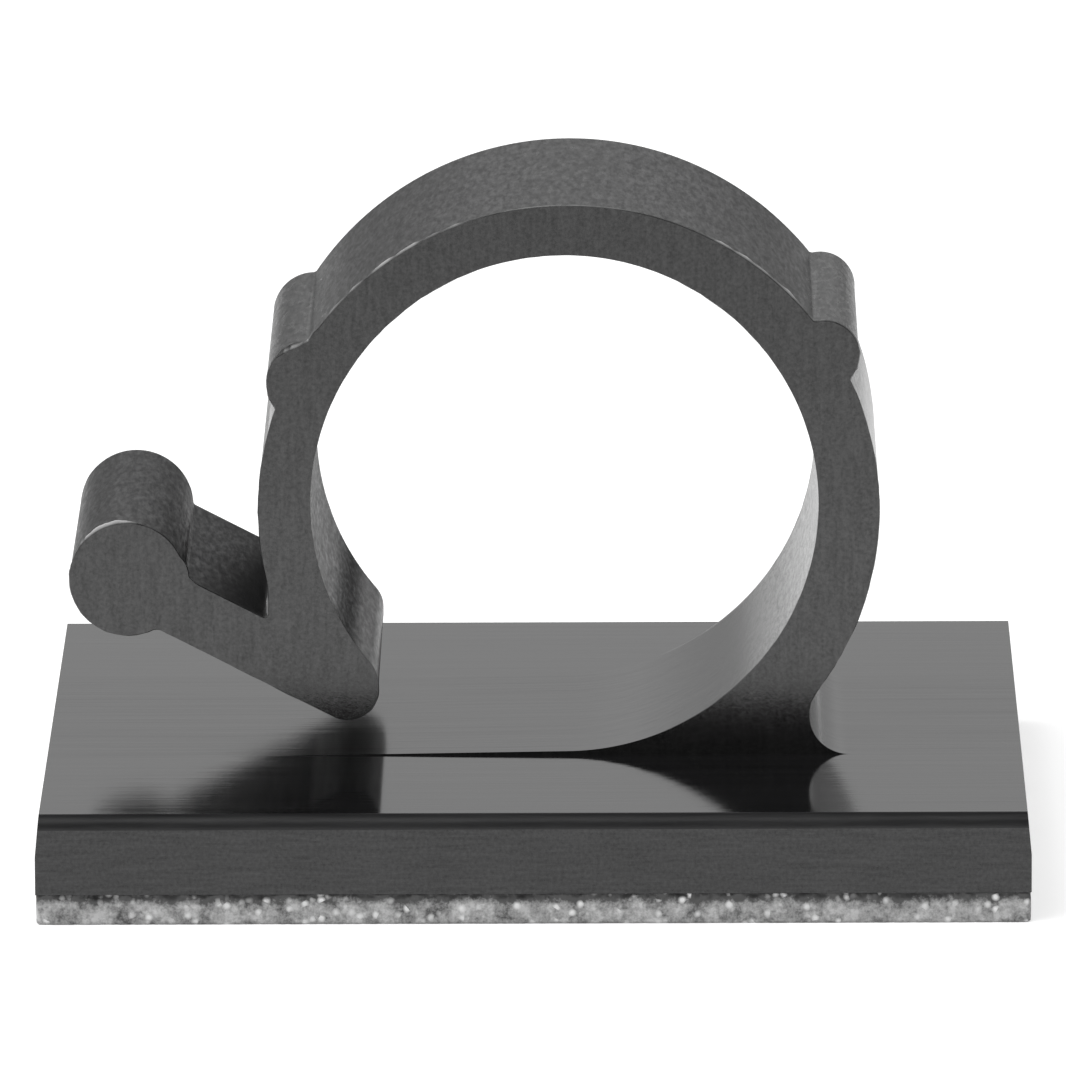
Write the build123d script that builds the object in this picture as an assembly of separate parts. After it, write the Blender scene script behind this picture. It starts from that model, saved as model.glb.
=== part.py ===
from build123d import *
from math import cos, radians, sin, sqrt
import os

# Cable clip with a peel-and-stick base, in millimetres.
# +X runs along the base from the thumb roll to the foot, +Y along the bore's axis, +Z up.
# The origin is the middle of the tape's underside, the face that sticks to a wall or a desk.
# The plastic body is one length cut from an extruded section. Both ends of its hoop are then
# milled away down to the base, which leaves the hoop narrower than the base it stands on.

# Base plate
base_length = 25.4
base_depth = 21.8
base_thickness = 2.04
base_edge_radius = 0.35
side_lean = 0.1
side_lean_height = 1.05

# Foam tape under the base
tape_thickness = 0.8
tape_inset = 0.01

# Hoop round the cables, with a wall that is thinnest at the upper left and thickest by the foot
bore_radius = 6.55
bore_offset = 0.8
hoop_width = 8.7
thin_wall = 1.26
thick_wall = 1.65
thick_angle = -54.0
foot_fillet = 1.05

# Low land that the bore runs out onto, towards the mouth
land_rise = 0.1
land_length = 7.35

# Lip at the hoop's free end, rounded below and above a short upright flat
mouth_height = 0.94
lip_radius = 0.8
lip_flat = 0.18

# Arm from the lip to the thumb roll, which bends the hoop open
arm_slope = 27.5
arm_thickness = 1.5
root_radius = 0.12
thumb_gap = 1.92
roll_radius = 1.48
roll_lift = 0.05
roll_fillet = 0.12
roll_notch_radius = 0.3

# Upright flank where the hoop's outer face meets the arm, starting this angle below the hoop's middle
flank_angle = 14.4
flank_blend = 2.0

# Two ribs along the outside of the hoop, each round and sunk into the wall
right_rib_radius = 0.9
right_rib_angle = 30.2
right_rib_sink = 0.28
left_rib_radius = 1.08
left_rib_angle = 154.0
left_rib_sink = 0.52
rib_fillet = 0.12

# Points nearer than this count as one
same_place = 0.001
# A cutting block is this many times as large as what it cuts
oversize = 2


def polar(radius, angle):
    """Step from an axis, at an angle in degrees from +X towards +Z."""
    return Vector(radius * cos(radians(angle)), radius * sin(radians(angle)))


# Levels, centres and directions in the section's own plane, where x is X and y is Z
base_top = tape_thickness + base_thickness
bore_centre = Vector(bore_offset, base_top + land_rise + bore_radius)
hoop_radius = bore_radius + (thin_wall + thick_wall) / 2
hoop_centre = bore_centre + polar((thick_wall - thin_wall) / 2, thick_angle)
arm_way = polar(1, -arm_slope)
arm_up = polar(1, 90 - arm_slope)

# The lip's lower round stands clear of the base, and its upper round touches the bore
lower_round_y = base_top + mouth_height + lip_radius
upper_round_y = lower_round_y + lip_flat
round_x = bore_centre.X - sqrt((bore_radius + lip_radius) ** 2 - (bore_centre.Y - upper_round_y) ** 2)
lip_x = round_x + lip_radius


def arm_point(x, height):
    """Point at x on the line that runs along the arm at a height over its underside."""
    start = Vector(round_x, lower_round_y) + arm_up * (height - lip_radius)
    return start + arm_way * ((x - start.X) / arm_way.X)


roll_x = hoop_centre.X - hoop_radius - thumb_gap - roll_radius
roll_centre = arm_point(roll_x, arm_thickness / 2 + roll_lift)


def way_out(start, way, centre, radius):
    """Place where a line that starts inside a circle runs out through it."""
    along = (centre - start).dot(way)
    aside = (centre - start - way * along).length
    return start + way * (along + sqrt(radius**2 - aside**2))


# The flank runs straight down from the hoop's outer face onto the arm
flank_top = hoop_centre + polar(hoop_radius, 180 + flank_angle)
flank_foot = arm_point(flank_top.X, arm_thickness)


def base_section():
    """Flat base, whose two sides lean in above a straight lower part."""
    half = base_length / 2
    lean_start = base_top - side_lean_height
    outline = Polyline(
        (-half, tape_thickness),
        (half, tape_thickness),
        (half, lean_start),
        (half - side_lean, base_top),
        (side_lean - half, base_top),
        (-half, lean_start),
        close=True,
    )
    return make_face(outline)


def hoop_section():
    """Ring round the bore, open between its lip and the land, and ending inside the base."""
    bore_bottom = bore_centre - Vector(0, bore_radius)
    land_end = Vector(bore_centre.X - land_length, base_top)
    below = Vector(0, base_thickness / 2)
    far_x = -oversize * base_length
    land = make_face(Polyline(bore_bottom, land_end, land_end - below, bore_bottom - below, close=True))
    mouth = make_face(
        Polyline(
            bore_centre,
            (lip_x, bore_centre.Y),
            arm_point(lip_x, 0),
            arm_point(far_x, 0),
            (far_x, base_top),
            land_end,
            bore_bottom,
            close=True,
        )
    )
    under_side = oversize * hoop_radius
    under_base = Pos(hoop_centre.X, base_top - below.Y) * Rectangle(
        under_side, under_side, align=(Align.CENTER, Align.MAX)
    )
    ring = Pos(hoop_centre) * Circle(hoop_radius) - mouth - under_base
    return ring + land


def arm_section():
    """Straight arm from the middle of the thumb roll down to the lip."""
    outline = Polyline(
        arm_point(roll_x, arm_thickness),
        arm_point(lip_x, arm_thickness),
        arm_point(lip_x, 0),
        arm_point(roll_x, 0),
        close=True,
    )
    return make_face(outline) + Pos(roll_centre) * Circle(roll_radius)


def flank_section():
    """Fill between the hoop's outer face, the upright flank and the arm's top."""
    arm_end = way_out(arm_point(lip_x, arm_thickness), -arm_way, hoop_centre, hoop_radius)
    return make_face(Polyline(flank_top, flank_foot, arm_end, close=True))


def rib_centre(angle, sink):
    """Middle of a rib, sunk below the hoop's outer face at an angle round the bore."""
    to_surface = way_out(bore_centre, polar(1, angle), hoop_centre, hoop_radius)
    return to_surface - polar(sink, angle)


def round_corner(section, place, radius):
    """Rounds the one corner of a section that lies nearest to a place."""
    return fillet(section.vertices().sort_by_distance(place)[0], radius)


def round_rib_roots(section, centre, radius):
    """Rounds the two corners where a rib's circle runs into the hoop."""
    roots = [v for v in section.vertices() if abs((Vector(v) - centre).length - radius) < same_place]
    return fillet(roots, rib_fillet)


def clip_section():
    """Whole section that the plastic is extruded in."""
    right_rib = rib_centre(right_rib_angle, right_rib_sink)
    left_rib = rib_centre(left_rib_angle, left_rib_sink)
    section = hoop_section() + arm_section() + flank_section()
    section += Pos(right_rib) * Circle(right_rib_radius)
    section += Pos(left_rib) * Circle(left_rib_radius)
    section -= Pos(bore_centre) * Circle(bore_radius)
    section += base_section()

    foot_height = hoop_centre.Y - base_top
    foot = Vector(hoop_centre.X + sqrt(hoop_radius**2 - foot_height**2), base_top)
    lip_top = Vector(lip_x, bore_centre.Y - sqrt(bore_radius**2 - (bore_centre.X - lip_x) ** 2))
    roll_top = way_out(arm_point(roll_x, arm_thickness), arm_way, roll_centre, roll_radius)
    roll_notch = way_out(arm_point(roll_x, 0), arm_way, roll_centre, roll_radius)
    section = round_corner(section, foot, foot_fillet)
    section = round_corner(section, flank_foot, root_radius)
    section = round_corner(section, flank_top, flank_blend)
    section = round_corner(section, arm_point(lip_x, 0), lip_radius)
    section = round_corner(section, lip_top, lip_radius)
    section = round_corner(section, roll_top, roll_fillet)
    section = round_corner(section, roll_notch, roll_notch_radius)
    section = round_rib_roots(section, right_rib, right_rib_radius)
    return round_rib_roots(section, left_rib, left_rib_radius)


def clip_body():
    """Extruded length with both ends of the hoop milled off and the base's long edges eased."""
    section = clip_section()
    blank = extrude(Plane.XZ * section, base_depth / 2, both=True)
    milled_length = (base_depth - hoop_width) / 2
    cutter = Box(
        oversize * base_length,
        milled_length,
        oversize * blank.bounding_box().size.Z,
        align=(Align.CENTER, Align.MIN, Align.MIN),
    )
    front_cut = Pos(0, -base_depth / 2, base_top) * cutter
    back_cut = Pos(0, hoop_width / 2, base_top) * cutter
    body = blank - front_cut - back_cut
    across = body.edges().filter_by(Axis.X)
    top_edges = across.filter_by_position(Axis.Z, base_top - same_place, base_top + same_place)
    ends = top_edges.sort_by(Axis.Y)
    return fillet([ends[0], ends[-1]], base_edge_radius)


def foam_tape():
    """Flat pad of foam tape, cut a little short of the base all round."""
    return Box(
        base_length - 2 * tape_inset,
        base_depth - 2 * tape_inset,
        tape_thickness,
        align=(Align.CENTER, Align.CENTER, Align.MIN),
    )


os.makedirs("parts", exist_ok=True)
export_step(clip_body(), "parts/clip_body.step")
export_step(foam_tape(), "parts/foam_tape.step")
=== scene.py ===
"""Looks of a self-adhesive cable clip: a black vinyl body on grey foam tape, in a plain white studio."""

import logging
import math
from dataclasses import dataclass
from enum import IntEnum

import bmesh
import bpy
from bmesh.types import BMEdge, BMesh, BMFace, BMVert
from bpy.types import Material, Node, NodeSocket, NodeTree, Object
from mathutils import Matrix, Vector, noise


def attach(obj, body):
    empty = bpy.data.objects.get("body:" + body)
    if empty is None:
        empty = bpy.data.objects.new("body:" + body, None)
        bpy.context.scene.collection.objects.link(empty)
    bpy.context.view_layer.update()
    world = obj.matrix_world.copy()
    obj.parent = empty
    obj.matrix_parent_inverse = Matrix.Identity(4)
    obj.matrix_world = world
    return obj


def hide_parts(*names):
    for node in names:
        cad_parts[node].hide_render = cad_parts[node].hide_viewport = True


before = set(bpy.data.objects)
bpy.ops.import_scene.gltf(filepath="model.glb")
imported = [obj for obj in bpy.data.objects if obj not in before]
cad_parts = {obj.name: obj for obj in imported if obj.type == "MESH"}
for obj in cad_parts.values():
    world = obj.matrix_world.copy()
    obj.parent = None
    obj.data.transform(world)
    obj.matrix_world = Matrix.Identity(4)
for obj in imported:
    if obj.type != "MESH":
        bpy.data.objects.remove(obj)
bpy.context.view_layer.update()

MM = 0.001
# Places nearer than this count as one, in millimetres
SAME = 1e-4
# Corners nearer than this are welded into one, in millimetres
WELD = 1e-3
# An edge or a normal lies along an axis where at least this share of it does
ALONG = 0.999
# How far a turn's straight steps may cut inside its curve, in millimetres
FINENESS = 0.0006
Pair = tuple[float, float]
Triple = tuple[float, float, float]
log = logging.getLogger("cable_clip")


def linear(hex_colour: str) -> tuple[float, ...]:
    """Turns an sRGB hex colour into the linear colour that a shader takes.

    Args:
        hex_colour: Six hex digits, such as "1c1c1d".

    Returns:
        Red, green, blue and an alpha of one.
    """
    parts = [int(hex_colour[i : i + 2], 16) / 255 for i in (0, 2, 4)]
    red, green, blue = (p / 12.92 if p <= 0.04045 else ((p + 0.055) / 1.055) ** 2.4 for p in parts)
    return red, green, blue, 1.0


def add_node(tree: NodeTree, kind: str, inputs: dict | None = None, **settings) -> Node:
    """Adds a node with its settings, and fills its sockets.

    Args:
        tree: Node tree that gets the node.
        kind: Blender's name of the node type, without ShaderNode in front.
        inputs: Socket name or number to a value, an output socket, or a node whose first output is taken.
        settings: The node's own properties.

    Returns:
        The new node.
    """
    node = tree.nodes.new(f"ShaderNode{kind}")
    for name, value in settings.items():
        setattr(node, name, value)
    for key, value in (inputs or {}).items():
        source = value.outputs[0] if isinstance(value, Node) else value
        if isinstance(source, NodeSocket):
            tree.links.new(source, node.inputs[key])
        else:
            node.inputs[key].default_value = value
    return node


def new_material(name: str) -> Material:
    """Makes a material with an empty node tree."""
    made = bpy.data.materials.new(name)
    made.use_nodes = True
    made.node_tree.nodes.clear()
    return made


def to_object(name: str, bm: BMesh) -> Object:
    """Scales a shape drawn in millimetres to metres and puts it into the scene at the origin.

    Args:
        name: Name of the piece.
        bm: Its shape, which is freed.

    Returns:
        The new object.
    """
    bmesh.ops.scale(bm, vec=(MM, MM, MM), verts=bm.verts[:])
    mesh = bpy.data.meshes.new(name)
    bm.to_mesh(mesh)
    bm.free()
    made = bpy.data.objects.new(name, mesh)
    bpy.context.scene.collection.objects.link(made)
    return made


def polar(radius: float, angle: float) -> Vector:
    """Steps from an axis, at an angle in degrees from across towards up."""
    turn = math.radians(angle)
    return Vector((radius * math.cos(turn), radius * math.sin(turn)))


def ramp(value: float, start: float, end: float) -> float:
    """Gives 0 at the start, 1 at the end and a straight climb between, also where the end is lower."""
    return min(1.0, max(0.0, (value - start) / (end - start)))


@dataclass(frozen=True)
class Circle:
    """Circle in the clip's section, where x is across and y is up, in millimetres."""

    centre: Vector
    radius: float

    def touch(self, other: "Circle") -> Vector:
        """Gives the point where this circle meets one that touches it from outside."""
        return self.centre + (other.centre - self.centre) * (self.radius / (self.radius + other.radius))

    def way_out(self, start: Vector, way: Vector) -> Vector:
        """Gives the place where a line that starts inside this circle runs out through it."""
        along = (self.centre - start).dot(way)
        aside = (self.centre - start - way * along).length
        return start + way * (along + math.sqrt(self.radius**2 - aside**2))

    def nestled(self, other: "Circle", radius: float, side: int) -> "Circle":
        """Finds the circle that fills the corner between two circles.

        Args:
            other: Circle that crosses this one.
            radius: Radius of the wanted circle.
            side: 1 for the corner on the left of the way from this circle to the other, -1 for the right.

        Returns:
            The circle that touches both from outside.
        """
        between = other.centre - self.centre
        way = between.normalized()
        reach = self.radius + radius
        along = (reach**2 - (other.radius + radius) ** 2 + between.length**2) / (2 * between.length)
        aside = math.sqrt(reach**2 - along**2)
        return Circle(self.centre + way * along + way.orthogonal() * (side * aside), radius)

    def resting(self, start: Vector, way: Vector, radius: float, side: int, ahead: int) -> "Circle":
        """Finds the circle that fills the corner between a line and this circle.

        Args:
            start: Point on the line.
            way: Unit vector along the line.
            radius: Radius of the wanted circle.
            side: 1 if it lies on the left of the line, -1 on the right.
            ahead: 1 if it lies past this circle along the line, -1 if before it.

        Returns:
            The circle that rests on the line and touches this circle from outside.
        """
        offset = start + way.orthogonal() * (side * radius)
        to_centre = self.centre - offset
        along = to_centre.dot(way)
        aside = (to_centre - way * along).length
        reach = math.sqrt((self.radius + radius) ** 2 - aside**2)
        return Circle(offset + way * (along + ahead * reach), radius)


class OutlinePen:
    """Draws a closed outline at one depth out of straight runs and round turns."""

    def __init__(self, bm: BMesh, depth: float, start: Vector) -> None:
        """Puts the pen down.

        Args:
            bm: Mesh that gets the outline, in millimetres.
            depth: Where the outline lies along Y.
            start: Its first place.
        """
        self.bm = bm
        self.depth = depth
        self.first = bm.verts.new((start.x, depth, start.y))
        self.tip = self.first
        self.drawn: list[BMEdge] = []

    def run(self, to: Vector, longest: float = math.inf) -> None:
        """Draws a straight run to a place, in steps of even length.

        Args:
            to: Where the run ends.
            longest: Length that no step exceeds.
        """
        begin = self.tip.co.xz
        steps = max(1, math.ceil((to - begin).length / longest))
        for step in range(1, steps + 1):
            made = bmesh.ops.extrude_vert_indiv(self.bm, verts=[self.tip])
            at = begin.lerp(to, step / steps)
            self.tip = made["verts"][0]
            self.tip.co = (at.x, self.depth, at.y)
            self.drawn += made["edges"]

    def turn(self, circle: Circle, to: Vector, left: bool) -> None:
        """Draws a turn round a circle's centre.

        Args:
            circle: Circle that the turn follows.
            to: Place on it where the turn ends.
            left: Whether the outline turns left, seen from the front.
        """
        begin = self.tip.co.xz - circle.centre
        end = to - circle.centre
        angle = math.atan2(end.y, end.x) - math.atan2(begin.y, begin.x)
        angle = angle % math.tau if left else -(-angle % math.tau)
        step = math.sqrt(8 * FINENESS / circle.radius)
        edges_before = set(self.bm.edges)
        middle = (circle.centre.x, self.depth, circle.centre.y)
        steps = max(2, math.ceil(abs(angle) / step))
        made = bmesh.ops.spin(
            self.bm, geom=[self.tip], cent=middle, axis=(0, -1, 0), angle=angle, steps=steps
        )
        self.tip = next(v for v in made["geom_last"] if isinstance(v, BMVert))
        self.drawn += [e for e in self.bm.edges if e not in edges_before]

    def close(self) -> BMFace:
        """Draws the last run back to the start, fills the outline and gives its face."""
        made = bmesh.ops.contextual_create(self.bm, geom=[self.tip, self.first])
        self.drawn += made["edges"]
        return bmesh.ops.contextual_create(self.bm, geom=self.drawn)["faces"][0]


class Surface(IntEnum):
    """Kinds of surface on the clip's body, in the order of its material slots."""

    DRAWN = 0
    MILLED = 1
    SAWN = 2
    SHEARED = 3
    EASED = 4


@dataclass(frozen=True)
class VinylFinish:
    """Rigid black vinyl (PVC) as one tool leaves it: a dark gloss whose haze and marks come from the tool.

    Attributes, with lengths in millimetres:
        name: Material name.
        fleck: Colour of the paler marks that the tool leaves.
        roughness: Haze of the gloss.
        colour: Body colour, near black because the vinyl is filled with carbon black.
        haze_spread: How much the haze varies over the marks.
        grain: Length of the fine marks along X, Y and Z.
        drag: Length of the coarse marks, in the same way.
        drag_share: Share of the coarse marks in the pattern.
        relief: Height of the marks.
        dulling: Haze that is added where the piece's "dull" attribute is one.
        haze_share: How much that added haze varies over the marks, as a share of it.
        mottle: Length of the marks that take over where the attribute is high.
        mottle_from: Value of the attribute from which only they are left.
        ior: Index of refraction, which is vinyl's 1.53, or a higher one where the tool burnished it.
        gloss_spread: How much the gloss varies over the marks, as a share of it.
        scuff_and_glint: Pale tone where the piece's "scuff" attribute is one: partly whitened, torn vinyl and
            partly a painted highlight along the burr.
        detail: Number of finer copies in a noise.
        crispness: Strength of each finer copy, as a share of the one before.
        span: Values that most of the noise lies between.
    """

    name: str
    fleck: str
    roughness: float
    colour: str = "0a0a0b"
    haze_spread: float = 0.03
    grain: Triple = (9.0, 0.2, 0.3)
    drag: Triple = (14.0, 0.9, 0.9)
    drag_share: float = 0.4
    relief: float = 0.003
    dulling: float = 0.0
    haze_share: float = 0.22
    mottle: Triple = (0.14, 0.5, 0.14)
    mottle_from: float = 0.3
    ior: float = 1.53
    gloss_spread: float = 0.3
    scuff_and_glint: str = "d4d4d4"
    detail: float = 4.0
    crispness: float = 0.72
    span: Pair = (0.35, 0.65)

    def spread(self, tree: NodeTree, pattern: Node, middle: float, reach: float) -> Node:
        """Spreads a value over the marks.

        Args:
            tree: Node tree of the material.
            pattern: The marks.
            middle: Value halfway between their low and high places.
            reach: How far the value goes below and above it.

        Returns:
            The node that gives the value at each place.
        """
        start, end = self.span
        low, high = middle - reach, middle + reach
        return add_node(
            tree,
            "MapRange",
            {"Value": pattern, "From Min": start, "From Max": end, "To Min": low, "To Max": high},
        )

    def marks(self, tree: NodeTree, size: Triple) -> Node:
        """Adds noise that is stretched to the size of a tool's marks.

        Args:
            tree: Node tree of the material.
            size: Length of the marks along X, Y and Z, in millimetres.

        Returns:
            The noise, about 0.5 and mostly within its span.
        """
        place = add_node(tree, "TexCoord").outputs["Object"]
        at = add_node(tree, "Mapping", {"Vector": place, "Scale": [1 / (length * MM) for length in size]})
        finer = {"Detail": self.detail, "Roughness": self.crispness}
        return add_node(tree, "TexNoise", {"Vector": at, "Scale": 1.0, **finer})

    def material(self) -> Material:
        """Builds the material from fine and coarse marks, and from the piece's worn places."""
        made = new_material(self.name)
        tree = made.node_tree
        fine, coarse, mottle = (self.marks(tree, size) for size in (self.grain, self.drag, self.mottle))
        tooled = add_node(tree, "Mix", {0: self.drag_share, 2: fine, 3: coarse})
        dull = add_node(tree, "Attribute", attribute_name="dull").outputs["Fac"]
        most = 1.0 if self.dulling else 0.0
        share = add_node(tree, "MapRange", {"Value": dull, "From Max": self.mottle_from, "To Max": most})
        pattern = add_node(tree, "Mix", {0: share, 2: tooled, 3: mottle})
        haze = self.spread(tree, pattern, self.roughness, self.haze_spread)
        dulling = self.spread(tree, pattern, self.dulling, self.dulling * self.haze_share)
        dulled = add_node(tree, "Math", {0: dull, 1: dulling, 2: haze}, operation="MULTIPLY_ADD")
        pale = self.spread(tree, pattern, 0.5, 0.5)
        tone = add_node(tree, "Mix", {0: pale, 6: linear(self.colour), 7: linear(self.fleck)}, data_type="RGBA")
        # The "scuff" attribute's pale tone is partly whitened torn vinyl and partly a painted highlight along
        # the burr.
        worn = add_node(tree, "Attribute", attribute_name="scuff_and_glint").outputs["Fac"]
        torn = add_node(tree, "Mix", {0: worn, 6: tone.outputs[2], 7: linear(self.scuff_and_glint)}, data_type="RGBA")
        bump = add_node(tree, "Bump", {"Height": pattern, "Distance": self.relief * MM})
        shader = add_node(
            tree,
            "BsdfPrincipled",
            {
                "Base Color": torn.outputs[2],
                "Roughness": dulled,
                "IOR": self.ior,
                "Specular IOR Level": self.spread(tree, pattern, 0.5, 0.5 * self.gloss_spread),
                "Normal": bump,
            },
        )
        add_node(tree, "OutputMaterial", {"Surface": shader})
        return made


@dataclass(frozen=True)
class FoamFinish:
    """Grey closed-cell polyethylene foam, slit with a blade: soft blotches, a band of painted shade under the
    base, and cut cells with painted glints.

    Attributes, with lengths in millimetres:
        name: Material name.
        dark: Dark tone of the mottling, which the band of painted shade under the base pushes the foam towards.
        pale: Tone of the open foam.
        spark: Tone of a cell wall that lies flat to the light, painted in as a white glint.
        cell: Width of a cell.
        blotch: Width of the mottling.
        height: Height of the pad.
        painted_shade_height: Height of the band of painted shade under the base.
        shade: How far that painted shade lowers the mottling's noise.
        tones: Values of the noise that give the dark and the pale tone.
        chances: Values of a cell's random number at which it starts to spark and sparks in full.
        rim: Distances from a cell's middle, in cells, where its spark starts and is full.
        hazes: Roughness of plain foam and of a spark.
        relief: Height of a cell's wall.
        ior: Index of refraction of polyethylene.
    """

    name: str = "slit_polyethylene_foam"
    dark: str = "5c5c5c"
    pale: str = "d2d2d2"
    spark: str = "ffffff"
    cell: float = 0.2
    blotch: float = 0.5
    height: float = 0.8
    painted_shade_height: float = 0.3
    shade: float = 0.34
    tones: Pair = (0.33, 0.63)
    chances: Pair = (0.74, 0.92)
    rim: Pair = (0.6, 0.2)
    hazes: Pair = (0.8, 0.35)
    relief: float = 0.02
    ior: float = 1.5

    def material(self) -> Material:
        """Builds the foam from cells of their real size, some with a painted glint, over slow blotches, with
        painted shade under the base.
        """
        made = new_material(self.name)
        tree = made.node_tree
        place = add_node(tree, "TexCoord").outputs["Object"]
        blotches = add_node(
            tree,
            "TexNoise",
            {"Vector": place, "Scale": 1 / (self.blotch * MM), "Detail": 4.0, "Roughness": 0.8},
        )
        cells = add_node(tree, "TexVoronoi", {"Vector": place, "Scale": 1 / (self.cell * MM)})
        height = add_node(tree, "SeparateXYZ", {"Vector": place}).outputs["Z"]
        # Painted shade: the mottling is pushed towards the dark tone in a band at the top of the pad, under the
        # base.
        low, high = (self.height - self.painted_shade_height) * MM, self.height * MM
        band = add_node(
            tree, "MapRange", {"Value": height, "From Min": low, "From Max": high, "To Max": self.shade}
        )
        shaded = add_node(tree, "Math", {0: blotches, 1: band}, operation="SUBTRACT")
        chance = add_node(tree, "SeparateColor", {"Color": cells.outputs["Color"]})
        tone, chosen, middle = (
            add_node(tree, "MapRange", {"Value": value, "From Min": start, "From Max": end})
            for value, (start, end) in ((shaded, self.tones), (chance, self.chances), (cells, self.rim))
        )
        ground = add_node(tree, "Mix", {0: tone, 6: linear(self.dark), 7: linear(self.pale)}, data_type="RGBA")
        # Painted glints: random cells get a white tone; their lower roughness below is real gloss.
        bright = add_node(tree, "Math", {0: chosen, 1: middle}, operation="MULTIPLY")
        sparked = {0: bright, 6: ground.outputs[2], 7: linear(self.spark)}
        colour = add_node(tree, "Mix", sparked, data_type="RGBA")
        plain, lit = self.hazes
        glint = add_node(tree, "MapRange", {"Value": bright, "To Min": plain, "To Max": lit})
        bump = add_node(tree, "Bump", {"Height": cells, "Distance": self.relief * MM}, invert=True)
        shader = add_node(
            tree,
            "BsdfPrincipled",
            {"Base Color": colour.outputs[2], "Roughness": glint, "IOR": self.ior, "Normal": bump},
        )
        add_node(tree, "OutputMaterial", {"Surface": shader})
        return made


FINISHES = {
    # Drawn out of the die and rubbed along X on the flat, the skin turns from a streaked gloss near the
    # base to a mottled satin on the hoop. The mottling is real but drawn longer along Y, so that it still
    # shows at the low angle that the clip is seen from.
    Surface.DRAWN: VinylFinish(
        "extruded_vinyl_skin", fleck="171718", roughness=0.13, drag_share=0.3, relief=0.004, dulling=0.24
    ),
    # The mill runs along X and leaves a mirror that is smeared across its grooves.
    Surface.MILLED: VinylFinish(
        "milled_vinyl_flat", fleck="161617", roughness=0.09, drag_share=0.25, gloss_spread=0.1
    ),
    # A saw burnishes the ends to a satin with a grain of about 0.1 mm and faint upright drag marks.
    Surface.SAWN: VinylFinish(
        "sawn_vinyl_end", fleck="0c0c0c", roughness=0.185, colour="050505", grain=(0.09, 0.09, 0.09),
        drag=(0.16, 0.16, 1.2), drag_share=0.35, ior=1.82,
    ),
    # A blade shears the base to length along X, and leaves it duller than the saw does.
    Surface.SHEARED: VinylFinish(
        "sheared_vinyl_end", fleck="1a1a1b", roughness=0.3, haze_spread=0.04, grain=(0.1, 0.1, 0.1),
        drag=(1.6, 0.16, 0.12), relief=0.002, ior=1.7,
    ),
    # The base's rolled-over long edges are the dullest of all, and the palest, partly by painted highlight.
    Surface.EASED: VinylFinish(
        "rolled_vinyl_edge", fleck="252526", roughness=0.44, colour="1b1b1c", haze_spread=0.05,
        grain=(3.0, 0.2, 0.2), drag=(6.0, 0.3, 0.3), relief=0.004, gloss_spread=0.2,
    ),
}


@dataclass(frozen=True)
class BurrPatch:
    """Stretch of the front cut edge that the saw tore or wore more than the rest, in millimetres.

    Attributes:
        middle: Its middle in the section.
        reach: How far it fades out along the edge.
        shift: How far the edge itself is pushed out, or in where negative.
        crest: Height of the burr that stands over the edge, which also sets its pale tone, partly a painted
            highlight.
    """

    middle: Vector
    reach: float
    shift: float
    crest: float

    def share(self, flat: Vector) -> float:
        """Gives the patch's strength at a place in the section, from 0 to 1."""
        near = ramp((flat - self.middle).length, self.reach, 0)
        return near * (2 - near)


@dataclass(frozen=True)
class SkinHaze:
    """Haze of the drawn skin in the clip's places, as shares of its finish's dulling. Reaches are in mm."""

    climb: float = 3.0  # height above the land over which the haze sets in
    bore: float = 0.35
    bore_left: float = 1.05  # added at the bore's left
    over_lip: float = 1.1  # added in the dark band over the lip
    band_middle: float = 1.55  # the band's distance from the lip's lower round
    band_reach: float = 0.75  # how far it fades out
    lip_reach: Pair = (1.35, 1.0)  # where the lip's own haze starts and is full
    lip_top: float = 0.95
    lip_low: float = 1.35
    arm_under: float = 2.0
    roll: float = 1.15
    roll_right: float = 0.5  # added at the roll's right
    arm: float = 1.35
    arm_root: float = 0.5  # added where the arm meets the flank
    root_reach: float = 1.6  # length of the arm over which that sets in
    flank: float = 0.7
    flank_low: float = 1.2  # added at the flank's foot
    low_reach: float = 2.0  # depth under the hoop's middle over which both set in
    hoop: float = 0.2
    crown: float = 0.7  # added over the hoop's upper part
    crown_side: float = 0.2  # added at that part's two sides
    crown_reach: Pair = (2.0, 5.6)  # heights over the bore's middle for both
    worn: float = 0.08  # added on the left rib
    worn_reach: float = 0.9  # full up to here, and nil at twice as much
    clean: float = 0.12  # taken away on the right rib
    clean_reach: float = 0.75  # the same for the right rib


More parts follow.
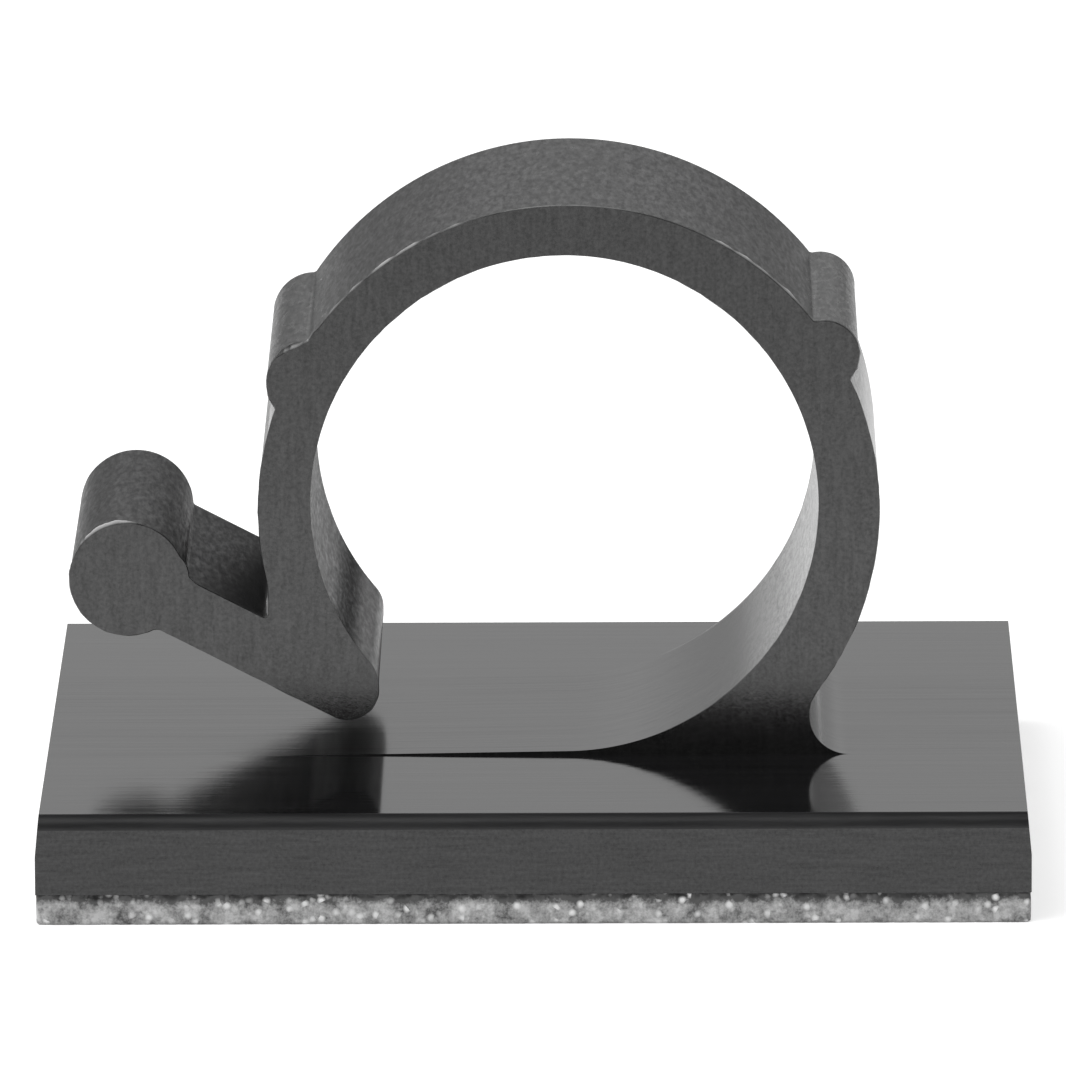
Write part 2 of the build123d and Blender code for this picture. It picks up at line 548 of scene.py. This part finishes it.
@dataclass
class ClipBody:
    """Plastic body: a base plate with a hoop, a lip, an arm and a thumb roll.

    Sizes are in millimetres, angles in degrees, and turns between faces in radians. A rib has its radius,
    its angle round the bore, and how deep its centre is sunk. The burr starts between two heights over the
    base, keeps its behind share in the bore and at the back, and has its noises' waves per millimetre.
    """

    base_length: float = 25.4
    base_depth: float = 21.8
    base_bottom: float = 0.8
    base_top: float = 2.84
    base_edge_radius: float = 0.35
    side_lean: float = 0.1
    side_lean_height: float = 1.05
    bore_radius: float = 6.55
    bore_offset: float = 0.8
    hoop_width: float = 8.7
    thin_wall: float = 1.26
    thick_wall: float = 1.65
    thick_angle: float = -54.0
    foot_fillet: float = 1.05
    land_rise: float = 0.1
    land_length: float = 7.35
    mouth_height: float = 0.94
    lip_radius: float = 0.8
    lip_flat: float = 0.18
    arm_slope: float = 27.5
    arm_thickness: float = 1.5
    root_radius: float = 0.12
    flank_angle: float = 14.4
    flank_blend: float = 2.0
    thumb_gap: float = 1.92
    roll_radius: float = 1.48
    roll_lift: float = 0.05
    roll_fillet: float = 0.14
    roll_notch_radius: float = 0.3
    right_rib: Triple = (0.9, 30.2, 0.28)
    left_rib: Triple = (1.08, 154.0, 0.52)
    rib_fillet: float = 0.12
    corner_ease: float = 0.02
    run_step: float = 0.2
    burr_crest: float = 0.05
    burr_foot: float = 0.2
    burr_height: float = 0.014
    burr_wander: float = 0.016
    burr_pale_height: float = 0.07
    burr_waves: tuple[float, ...] = (2.2, 7.0, 4.0, 11.0)
    burr_start: Pair = (0.5, 1.3)
    burr_top_fade: float = 0.3
    burr_behind: float = 0.4
    corner_turn: float = math.radians(40)
    sharp_turn: float = math.radians(50)
    seam_turn: float = 0.3
    haze: SkinHaze = SkinHaze()

    def __post_init__(self) -> None:
        """Works out the section's circles and lines from the sizes."""
        bore_height = self.base_top + self.land_rise + self.bore_radius
        self.bore = Circle(Vector((self.bore_offset, bore_height)), self.bore_radius)
        hoop = self.bore_radius + (self.thin_wall + self.thick_wall) / 2
        self.hoop = Circle(self.around_bore((self.thick_wall - self.thin_wall) / 2, self.thick_angle), hoop)
        self.arm_way = polar(1, -self.arm_slope)
        self.arm_up = polar(1, 90 - self.arm_slope)
        low_y = self.base_top + self.mouth_height + self.lip_radius
        high_y = low_y + self.lip_flat
        reach = self.bore_radius + self.lip_radius
        round_x = self.bore.centre.x - math.sqrt(reach**2 - (self.bore.centre.y - high_y) ** 2)
        self.lower_round = Circle(Vector((round_x, low_y)), self.lip_radius)
        self.upper_round = Circle(Vector((round_x, high_y)), self.lip_radius)
        roll_x = self.hoop.centre.x - hoop - self.thumb_gap - self.roll_radius
        self.roll = Circle(self.arm_point(roll_x, self.arm_thickness / 2 + self.roll_lift), self.roll_radius)
        self.land_tip = Vector((self.bore_offset - self.land_length, self.base_top))
        ground = Vector((0, self.base_top))
        self.foot = self.hoop.resting(ground, Vector((1, 0)), self.foot_fillet, side=1, ahead=1)
        self.flank_x = (self.hoop.centre + polar(hoop, 180 + self.flank_angle)).x
        self.top_z = self.hoop.centre.y + hoop
        self.worn_rib = rib = self.around_bore(hoop - 0.1, self.left_rib[1])
        self.clean_rib = self.around_bore(hoop + 0.2, self.right_rib[1])
        flank_foot = self.arm_point(self.flank_x, self.arm_thickness)
        roll_foot = self.arm_point(roll_x, self.arm_thickness)
        bore = self.bore.centre
        # The crests also set the edge's pale tone, which is partly a painted highlight.
        # Where the edge is torn or worn: a place, a step from it, and the patch's reach, shift and crest
        patches = (
            (self.roll.centre, polar(self.roll_radius, 112), 0.95, 0.0, 0.085),
            (self.roll.centre, polar(self.roll_radius, 168), 0.7, 0.0, 0.015),
            (flank_foot, Vector((0.2, 0.45)), 0.42, 0.0, 0.065),
            (rib, polar(1.1, 58), 0.35, 0.05, 0.02),
            (rib, polar(0.85, 88), 0.65, -0.1, 0.02),
            (bore, polar(hoop, 132), 3.4, 0.0, 0.026),
            (bore, polar(hoop, 105), 5.5, 0.0, 0.02),
            (bore, polar(hoop, 50), 3.4, 0.0, 0.042),
            (bore, polar(hoop + 0.5, self.right_rib[1] - 4), 0.9, 0.0, 0.02),
            (roll_foot, self.arm_way * self.roll_radius, 0.5, 0.12, 0.0),
        )
        self.burr_patches = [BurrPatch(place + step, *sizes) for place, step, *sizes in patches]

    def around_bore(self, radius: float, angle: float) -> Vector:
        """Gives the place at a radius and an angle round the bore's axis."""
        return self.bore.centre + polar(radius, angle)

    def arm_point(self, x: float, height: float) -> Vector:
        """Gives the place at x on the line that runs along the arm at a height over its underside."""
        start = self.lower_round.centre + self.arm_up * (height - self.lip_radius)
        return start + self.arm_way * ((x - start.x) / self.arm_way.x)

    def draw_rib(self, pen: OutlinePen, sizes: Triple) -> None:
        """Draws along the hoop to a rib, and round the rib with its two root fillets.

        Args:
            pen: Pen that stands on the hoop's outer circle.
            sizes: The rib's three sizes.
        """
        radius, angle, sink = sizes
        centre = self.hoop.way_out(self.bore.centre, polar(1, angle)) - polar(sink, angle)
        rib = Circle(centre, radius)
        root_in = self.hoop.nestled(rib, self.rib_fillet, side=-1)
        root_out = self.hoop.nestled(rib, self.rib_fillet, side=1)
        pen.turn(self.hoop, self.hoop.touch(root_in), left=True)
        pen.turn(root_in, root_in.touch(rib), left=False)
        pen.turn(rib, rib.touch(root_out), left=True)
        pen.turn(root_out, root_out.touch(self.hoop), left=False)

    def draw_section(self, bm: BMesh) -> BMFace:
        """Draws the part of the section that stands on the base, starting at the foot.

        Args:
            bm: Mesh that gets it, at the hoop's front.

        Returns:
            The face that fills it.
        """
        down = self.arm_up * -1
        arm_top = self.arm_point(0, self.arm_thickness)
        arm_under = self.arm_point(0, 0)
        flank = Vector((self.flank_x, 0))
        blend = self.hoop.resting(flank, Vector((0, -1)), self.flank_blend, side=-1, ahead=1)
        root_height = self.arm_thickness + self.root_radius
        root = Circle(self.arm_point(self.flank_x - self.root_radius, root_height), self.root_radius)
        roll_top = self.roll.resting(arm_top, self.arm_way, self.roll_fillet, side=1, ahead=1)
        notch = self.roll.resting(arm_under, self.arm_way, self.roll_notch_radius, side=-1, ahead=1)

        pen = OutlinePen(bm, -self.hoop_width / 2, Vector((self.foot.centre.x, self.base_top)))
        pen.turn(self.foot, self.foot.touch(self.hoop), left=False)
        self.draw_rib(pen, self.right_rib)
        self.draw_rib(pen, self.left_rib)
        pen.turn(self.hoop, self.hoop.touch(blend), left=True)
        pen.turn(blend, Vector((self.flank_x, blend.centre.y)), left=False)
        pen.run(Vector((self.flank_x, root.centre.y)), self.run_step)
        pen.turn(root, root.centre + down * root.radius, left=False)
        pen.run(roll_top.centre + down * roll_top.radius, self.run_step)
        pen.turn(roll_top, roll_top.touch(self.roll), left=False)
        pen.turn(self.roll, self.roll.touch(notch), left=True)
        pen.turn(notch, notch.centre + self.arm_up * notch.radius, left=False)
        pen.run(self.lower_round.centre + down * self.lip_radius, self.run_step)
        pen.turn(self.lower_round, self.lower_round.centre + Vector((self.lip_radius, 0)), left=True)
        pen.run(self.upper_round.centre + Vector((self.lip_radius, 0)))
        pen.turn(self.upper_round, self.upper_round.touch(self.bore), left=True)
        pen.turn(self.bore, self.bore.centre - Vector((0, self.bore_radius)), left=False)
        pen.run(self.land_tip)
        return pen.close()

    def draw_base(self, bm: BMesh) -> None:
        """Makes the base plate, eases its edges and opens its top where the hoop stands.

        Args:
            bm: Empty mesh that gets it.
        """
        half, low, top = self.base_length / 2, self.base_bottom, self.base_top
        end, lean = half - self.side_lean, top - self.side_lean_height
        pen = OutlinePen(bm, -self.base_depth / 2, Vector((-half, low)))
        for place in ((half, low), (half, lean), (end, top), (-end, top), (-half, lean)):
            pen.run(Vector(place))
        self.extrude(bm, pen.close(), self.base_depth)
        along_top = [e for e in bm.edges if self.lies_level(e, self.base_top) and self.runs_along(e, 0)]
        self.ease(bm, along_top, self.base_edge_radius, steps=12, slot=Surface.EASED)
        across = [e for e in bm.edges if not (self.runs_along(e, 0) or self.lies_level(e, self.base_bottom))]
        long = [e for e in across if e.calc_length() > self.side_lean_height / 2]
        corners = [e for e in long if e.calc_face_angle(0) > self.corner_turn]
        self.ease(bm, corners, self.corner_ease, steps=3)
        for y in (-self.hoop_width / 2, self.hoop_width / 2):
            self.cut(bm, self.top_faces(bm), (0, y, 0), (0, 1, 0))
        start, end = self.land_tip.x, self.foot.centre.x
        for x in (start, end):
            self.cut(bm, self.under_hoop(bm), (x, 0, 0), (1, 0, 0))
        footprint = [f for f in self.under_hoop(bm) if start < f.calc_center_median().x < end]
        bmesh.ops.delete(bm, geom=footprint, context="FACES_ONLY")

    @staticmethod
    def lies_level(edge: BMEdge, height: float) -> bool:
        """Tells whether both ends of an edge are at a height."""
        return all(abs(v.co.z - height) < SAME for v in edge.verts)

    @staticmethod
    def runs_along(edge: BMEdge, axis: int) -> bool:
        """Tells whether an edge runs along X, Y or Z, which are axes 0, 1 and 2."""
        way = edge.verts[1].co - edge.verts[0].co
        return abs(way[axis]) > ALONG * way.length

    @staticmethod
    def extrude(bm: BMesh, face: BMFace, depth: float) -> None:
        """Pulls a face back along Y into a closed prism."""
        made = bmesh.ops.extrude_face_region(bm, geom=[face])
        moved = [v for v in made["geom"] if isinstance(v, BMVert)]
        bmesh.ops.translate(bm, vec=(0, depth, 0), verts=moved)
        bmesh.ops.recalc_face_normals(bm, faces=bm.faces[:])

    @staticmethod
    def ease(bm: BMesh, edges: list[BMEdge], radius: float, steps: int, slot: int = -1) -> None:
        """Rounds edges.

        Args:
            bm: Mesh that holds them.
            edges: Edges to round.
            radius: Radius of the round, in millimetres.
            steps: Number of faces across it.
            slot: Material slot of the new faces, or -1 for that of their neighbours.
        """
        bmesh.ops.bevel(
            bm, geom=edges, offset=radius, segments=steps, profile=0.5, affect="EDGES",
            material=slot, clamp_overlap=True,
        )

    def top_faces(self, bm: BMesh) -> list[BMFace]:
        """Gives the flat faces on the base's top."""
        return [f for f in bm.faces if all(abs(v.co.z - self.base_top) < SAME for v in f.verts)]

    def under_hoop(self, bm: BMesh) -> list[BMFace]:
        """Gives the flat faces on the base's top that lie within the hoop's width."""
        return [f for f in self.top_faces(bm) if abs(f.calc_center_median().y) < self.hoop_width / 2]

    @staticmethod
    def cut(bm: BMesh, faces: list[BMFace], place: tuple, normal: tuple) -> None:
        """Divides some faces along a plane.

        Args:
            bm: Mesh that holds them.
            faces: Faces to divide.
            place: Point on the plane.
            normal: Way that the plane faces.
        """
        edges = {e for f in faces for e in f.edges}
        verts = {v for f in faces for v in f.verts}
        bmesh.ops.bisect_plane(bm, geom=[*faces, *edges, *verts], dist=SAME, plane_co=place, plane_no=normal)

    def surface_of(self, face: BMFace) -> Surface:
        """Tells which kind of surface a face belongs to."""
        middle = face.calc_center_median()
        if face.material_index == Surface.EASED:
            return Surface.EASED
        if abs(face.normal.y) > ALONG:
            return Surface.SAWN if abs(middle.y) < self.base_depth / 2 - 1 else Surface.SHEARED
        if abs(middle.y) > self.hoop_width / 2 and face.normal.z > ALONG:
            return Surface.MILLED
        return Surface.DRAWN

    def over_base(self, place: Vector) -> float:
        """Gives 0 next to the base, where the edge is clean, and 1 from a little above it."""
        return ramp(place.z - self.base_top, *self.burr_start)

    def under_top(self, place: Vector) -> float:
        """Gives 0 at the crown's very top, where the pale edge lies level, and 1 elsewhere."""
        return ramp(self.top_z - place.z, 0, self.burr_top_fade)

    def shift_at(self, place: Vector) -> float:
        """Gives how far the front edge is pushed out of its drawn line at a place, in millimetres."""
        flat = place.xz
        return sum(patch.shift * patch.share(flat) for patch in self.burr_patches)

    def burr_at(self, place: Vector) -> float:
        """Gives the height of the torn burr along the hoop's cut edges.

        Args:
            place: Place on an edge, in millimetres.

        Returns:
            A height in millimetres.
        """
        flat = place.xz
        slow, quick, swell, tear = (noise.noise(place * waves) for waves in self.burr_waves)
        height = self.burr_height + self.burr_wander * (slow + 0.7 * quick)
        if place.y < 0:
            torn = sum(patch.crest * patch.share(flat) for patch in self.burr_patches)
            height += torn * (1 + 0.3 * swell)
            height += min(torn, 2 * self.burr_wander) * tear
        if place.y > 0 or (flat - self.bore.centre).length < self.bore_radius + 0.05:
            height *= self.burr_behind
        return max(0.0, height)

    def dull_at(self, place: Vector) -> float:
        """Gives the haze of the drawn skin, which is glossy by the base and dullest round the arm.

        Args:
            place: Place on the body, in millimetres.

        Returns:
            0 on the land and the foot, about 1 on the hoop's outside, less on its right rib, and more on
            the left rib, on the arm and in the bore just over the lip.
        """
        haze = self.haze
        rise = ramp(place.z - self.base_top - self.land_rise, 0, haze.climb)
        if rise == 0:
            return 0.0
        flat = place.xz
        to_lip = (flat - self.lower_round.centre).length
        if (flat - self.bore.centre).length < self.bore_radius + 0.1:
            left = max(0.0, (self.bore.centre.x - place.x) / self.bore_radius)
            band = ramp(abs(to_lip - haze.band_middle), haze.band_reach, 0)
            wall = haze.bore * rise**2 + haze.bore_left * left + haze.over_lip * band
            return wall + (haze.lip_top - wall) * ramp(to_lip, *haze.lip_reach)
        if to_lip < self.lip_radius + 0.25:
            return haze.lip_top if flat.y > self.lower_round.centre.y else haze.lip_low
        # The bounds between the places leave a little room for fillets and burr
        roll_end = self.roll.centre.x + self.roll.radius
        under_arm = place.z < self.arm_point(place.x, 0).y + 0.2
        if under_arm and roll_end < place.x < self.lower_round.centre.x:
            return haze.arm_under
        low = ramp(place.z, self.hoop.centre.y, self.hoop.centre.y - haze.low_reach)
        if place.x < roll_end:
            return haze.roll + haze.roll_right * ramp(place.x, self.roll.centre.x, roll_end) ** 2
        if place.x < self.flank_x - 0.3:
            root = ramp(place.x, self.flank_x - haze.root_reach, self.flank_x)
            return haze.arm + haze.arm_root * root * low
        if place.x < self.flank_x + 0.01:
            return haze.flank + haze.flank_low * low
        crown = ramp(place.z - self.bore.centre.y, *haze.crown_reach)
        aside = abs(place.x - self.hoop.centre.x) / self.hoop.radius
        worn = ramp((flat - self.worn_rib).length, 2 * haze.worn_reach, haze.worn_reach)
        clean = ramp((flat - self.clean_rib).length, 2 * haze.clean_reach, haze.clean_reach)
        hoop = haze.hoop + crown * (haze.crown + haze.crown_side * aside)
        return rise * hoop + haze.worn * worn - haze.clean * clean

    def raise_burr(self, bm: BMesh) -> None:
        """Tears up a fine crest just inside the hoop's two cut faces, and marks it pale: partly torn vinyl,
        partly painted highlight.

        Args:
            bm: The body's closed mesh, in millimetres.
        """
        half = self.hoop_width / 2
        for inside in (self.burr_crest, self.burr_foot):
            for y in (inside - half, half - inside):
                band = [f for f in bm.faces if all(abs(v.co.y) < half + SAME for v in f.verts)]
                self.cut(bm, [f for f in band if abs(f.normal.y) < 0.5], (0, y, 0), (0, 1, 0))
        bm.normal_update()
        scuff_and_glint = bm.verts.layers.float.new("scuff_and_glint")
        dull = bm.verts.layers.float.new("dull")
        for vert in bm.verts:
            vert[dull] = self.dull_at(vert.co)
            inset = half - abs(vert.co.y)
            if inset > self.burr_crest + SAME or inset < -SAME:
                continue
            at_crest = inset > SAME
            fade = self.over_base(vert.co)
            shift = self.shift_at(vert.co) * fade if vert.co.y < 0 else 0.0
            height = self.burr_at(vert.co) * fade if at_crest else 0.0
            out = Vector((vert.normal.x, 0, vert.normal.z))
            if out.length > SAME:
                vert.co += out.normalized() * ((shift + height) * self.under_top(vert.co))
            # Pale where the burr stands high: partly whitened vinyl, partly a painted highlight.
            vert[scuff_and_glint] = min(1.0, (height / self.burr_pale_height) ** 2)

    def build(self) -> Object:
        """Builds the body as one closed mesh, with a burr on the hoop's cut edges.

        Returns:
            The dressed object.
        """
        bm = bmesh.new()
        self.draw_base(bm)
        upright = bmesh.new()
        self.extrude(upright, self.draw_section(upright), self.hoop_width)
        under = [f for f in upright.faces if all(abs(v.co.z - self.base_top) < SAME for v in f.verts)]
        bmesh.ops.delete(upright, geom=under, context="FACES_ONLY")
        spare = bpy.data.meshes.new("upright")
        upright.to_mesh(spare)
        upright.free()
        bm.from_mesh(spare)
        bpy.data.meshes.remove(spare)
        bmesh.ops.remove_doubles(bm, verts=bm.verts[:], dist=WELD)
        bmesh.ops.recalc_face_normals(bm, faces=bm.faces[:])
        for face in bm.faces:
            face.smooth = True
            face.material_index = self.surface_of(face)
        self.raise_burr(bm)
        for edge in bm.edges:
            turn = edge.calc_face_angle(0)
            at_tip = all(abs(v.co.x - self.land_tip.x) < SAME for v in edge.verts)
            at_seam = turn > self.seam_turn and len({f.material_index for f in edge.link_faces}) > 1
            edge.smooth = not (turn > self.sharp_turn or at_tip or at_seam)
        log.info("body open edges %d, faces %d", sum(not e.is_manifold for e in bm.edges), len(bm.faces))
        made = to_object("vinyl_clip", bm)
        for surface in Surface:
            made.data.materials.append(FINISHES[surface].material())
        flat = made.modifiers.new("flat_normals", "WEIGHTED_NORMAL")
        flat.mode = "FACE_AREA"
        flat.weight = 100
        flat.keep_sharp = True
        return made


@dataclass
class FoamTape:
    """Foam pad under the base, cut a little short of it all round.

    Sizes are in millimetres. The pit's share is how much of a cell it takes up. The tear's base is how far
    a tear reaches where its noises are nil, and these have so many waves per millimetre.
    """

    length: float = 25.38
    depth: float = 21.78
    thickness: float = 0.8
    corner_radius: float = 0.15
    low_radius: float = 0.06
    step: float = 0.045
    cell: float = 0.16
    pit_depth: float = 0.035
    pit_share: float = 0.625
    tear_depth: float = 0.2
    tear_height: float = 0.2
    tear_base: float = 0.3
    tear_waves: Pair = (2.3, 9.0)

    def inset_at(self, place: Vector) -> float:
        """Gives how far the cut side is sunk at a place, from open cells and from tears along the top."""
        near, _ = noise.voronoi(place / self.cell)
        pit = self.pit_depth * ramp(near[0], self.pit_share, 0)
        high = ramp(place.z, self.thickness - self.tear_height, self.thickness - self.tear_height / 3)
        broad, fine = (noise.noise(place * waves) for waves in self.tear_waves)
        ragged = max(0.0, self.tear_base + broad + 0.5 * fine)
        under = max(0.0, self.low_radius - place.z)
        turned = self.low_radius - math.sqrt(self.low_radius**2 - under**2)
        return pit + turned + self.tear_depth * ragged * high

    def build(self) -> Object:
        """Builds the pad as a box whose four sides are finely divided and sunk by their cells.

        Returns:
            The dressed object.
        """
        bm = bmesh.new()
        bmesh.ops.create_cube(bm, size=1)
        bmesh.ops.scale(bm, vec=(self.length, self.depth, self.thickness), verts=bm.verts[:])
        bmesh.ops.translate(bm, vec=(0, 0, self.thickness / 2), verts=bm.verts[:])
        caps = [f for f in bm.faces if abs(f.normal.z) > 0.5]
        bmesh.ops.delete(bm, geom=caps, context="FACES_ONLY")
        corners = [e for e in bm.edges if ClipBody.runs_along(e, 2)]
        ClipBody.ease(bm, corners, self.corner_radius, steps=4)
        for axis, size in ((0, self.length), (1, self.depth)):
            level = [e for e in bm.edges if ClipBody.runs_along(e, axis)]
            bmesh.ops.subdivide_edges(bm, edges=level, cuts=round(size / self.step) - 1)
        upright = [e for e in bm.edges if ClipBody.runs_along(e, 2)]
        bmesh.ops.subdivide_edges(bm, edges=upright, cuts=round(self.thickness / self.step) - 1)
        bm.normal_update()
        for vert in bm.verts:
            out = Vector((vert.normal.x, vert.normal.y, 0)).normalized()
            vert.co -= out * self.inset_at(vert.co)
        bmesh.ops.holes_fill(bm, edges=bm.edges[:], sides=0)
        bmesh.ops.recalc_face_normals(bm, faces=bm.faces[:])
        for face in bm.faces:
            face.smooth = abs(face.normal.z) < 0.9
        log.info("foam open edges %d, faces %d", sum(not e.is_manifold for e in bm.edges), len(bm.faces))
        made = to_object("foam_pad", bm)
        made.data.materials.append(FoamFinish().material())
        return made


@dataclass
class Studio:
    """White sweep under one soft lamp, and the camera at the photograph's angle.

    Lengths are in metres, angles in radians, and the camera's target and distance in millimetres. The pool
    is the light patch of floor that gloss mirrors, with its levels within its near reach and past its far
    one. The backdrop's height, width and depth are parts of a unit vector between which it fades.
    """

    floor_half: float = 3.0
    floor_glow: float = 0.55
    pool_reach: Pair = (0.045, 0.085)
    pool_levels: Pair = (0.7, 0.1)
    lamp_size: float = 1.3
    lamp_place: Triple = (-0.75, -0.35, 1.2)
    lamp_power: float = 12.7
    room_level: float = 0.5
    backdrop_levels: Pair = (0.05, 0.7)
    backdrop_height: Pair = (0.28, 0.55)
    backdrop_width: Pair = (0.1, 0.34)
    backdrop_aside: float = 0.35
    backdrop_depth: Pair = (-0.6, 0.2)
    backdrop_front: float = 0.22
    lens_pixels: float = 15773.0
    image_pixels: float = 1066.0
    sensor_width: float = 36.0
    yaw: float = -0.0070
    pitch: float = 0.2260
    roll: float = -0.0046
    target: Triple = (-0.042, 0.0, 7.7287)
    distance: float = 411.03

    def lay_floor(self) -> None:
        """Lays a pale floor that keeps the clip's shadow and shows white to the camera and in gloss."""
        bm = bmesh.new()
        bmesh.ops.create_grid(bm, x_segments=1, y_segments=1, size=self.floor_half / MM)
        floor = to_object("floor", bm)
        made = new_material("white_paper_sweep")
        tree = made.node_tree
        rays = add_node(tree, "LightPath").outputs
        matt = {"Base Color": linear("e8e8e8"), "Roughness": 0.9, "Specular IOR Level": 0.0}
        paper = add_node(tree, "BsdfPrincipled", matt)
        glow = add_node(tree, "Emission", {"Strength": self.floor_glow})
        both = add_node(tree, "AddShader", {0: paper, 1: glow})
        place = add_node(tree, "TexCoord").outputs["Object"]
        away = add_node(tree, "VectorMath", {0: place}, operation="LENGTH").outputs["Value"]
        (near, far), (bright, dim) = self.pool_reach, self.pool_levels
        pool = add_node(
            tree,
            "MapRange",
            {"Value": away, "From Min": near, "From Max": far, "To Min": bright, "To Max": dim},
        )
        mirrored = add_node(tree, "Math", {0: rays["Is Glossy Ray"], 1: pool}, operation="MULTIPLY")
        clear = {0: rays["Is Camera Ray"], 1: rays["Is Transmission Ray"]}
        straight = add_node(tree, "Math", clear, operation="MAXIMUM")
        seen = add_node(tree, "Math", {0: straight, 1: mirrored}, operation="MAXIMUM")
        mixed = add_node(tree, "MixShader", {0: seen, 1: paper, 2: both})
        add_node(tree, "OutputMaterial", {"Surface": mixed})
        floor.data.materials.append(made)

    def light_world(self) -> None:
        """Makes a white backdrop that fades to a dim room above it."""
        world = bpy.data.worlds.new("studio")
        world.use_nodes = True
        bpy.context.scene.world = world
        tree = world.node_tree
        tree.nodes.clear()
        place = add_node(tree, "TexCoord").outputs["Generated"]
        way = add_node(tree, "SeparateXYZ", {"Vector": place}).outputs
        aside = add_node(tree, "Math", {0: way["X"]}, operation="ABSOLUTE")
        lit = 1.0
        for value, (start, end), first, last in (
            (way["Z"], self.backdrop_height, 1.0, 0.0),
            (aside, self.backdrop_width, 1.0, self.backdrop_aside),
            (way["Y"], self.backdrop_depth, self.backdrop_front, 1.0),
        ):
            fade = add_node(
                tree,
                "MapRange",
                {"Value": value, "From Min": start, "From Max": end, "To Min": first, "To Max": last},
                interpolation_type="SMOOTHSTEP",
            )
            lit = add_node(tree, "Math", {0: lit, 1: fade}, operation="MULTIPLY")
        dim, full = self.backdrop_levels
        level = add_node(tree, "MapRange", {"Value": lit, "To Min": dim, "To Max": full})
        rays = add_node(tree, "LightPath").outputs
        room, sweep, white = (
            add_node(tree, "Background", {"Color": (1, 1, 1, 1), "Strength": strength})
            for strength in (self.room_level, level, 1.0)
        )
        clear = {0: rays["Is Camera Ray"], 1: rays["Is Transmission Ray"]}
        seen = add_node(tree, "Math", clear, operation="MAXIMUM")
        glossy = add_node(tree, "MixShader", {0: rays["Is Glossy Ray"], 1: room, 2: sweep})
        mixed = add_node(tree, "MixShader", {0: seen, 1: glossy, 2: white})
        add_node(tree, "OutputWorld", {"Surface": mixed})

    def hang_lamp(self) -> None:
        """Hangs one soft lamp up on the left and a little in front, turned to the clip."""
        lamp = bpy.data.lights.new("softbox", "AREA")
        lamp.shape = "SQUARE"
        lamp.size = self.lamp_size
        lamp.energy = self.lamp_power
        made = bpy.data.objects.new("softbox", lamp)
        made.location = self.lamp_place
        made.rotation_euler = (-made.location).to_track_quat("-Z", "Y").to_euler()
        bpy.context.scene.collection.objects.link(made)

    def set_camera(self) -> None:
        """Places the camera so that a frame of the photograph's size shows what it shows."""
        flat = math.cos(self.pitch)
        forward = Vector((math.sin(self.yaw) * flat, math.cos(self.yaw) * flat, -math.sin(self.pitch)))
        level = Vector((math.cos(self.yaw), -math.sin(self.yaw), 0))
        above = level.cross(forward)
        right = level * math.cos(self.roll) + above * math.sin(self.roll)
        up = above * math.cos(self.roll) - level * math.sin(self.roll)
        camera = bpy.data.cameras.new("camera")
        camera.sensor_width = self.sensor_width
        camera.lens = self.lens_pixels / self.image_pixels * self.sensor_width
        camera.clip_start = 0.02
        camera.clip_end = 20.0
        made = bpy.data.objects.new("camera", camera)
        made.matrix_world = Matrix((right, up, -forward)).transposed().to_4x4()
        made.location = (Vector(self.target) - forward * self.distance) * MM
        bpy.context.scene.collection.objects.link(made)
        bpy.context.scene.camera = made

    def build(self) -> None:
        """Sets up the floor, the light and the camera, and plain view settings."""
        self.lay_floor()
        self.light_world()
        self.hang_lamp()
        self.set_camera()
        bpy.context.scene.view_settings.view_transform = "Standard"


def main() -> None:
    """Builds the clip's two pieces and the studio."""
    logging.basicConfig(level=logging.INFO, format="%(name)s: %(message)s")
    body = ClipBody().build()
    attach(body, "root")
    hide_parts("clip_body")
    foam = FoamTape().build()
    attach(foam, "root")
    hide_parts("foam_tape")
    Studio().build()


if __name__ == "__main__":
    main()
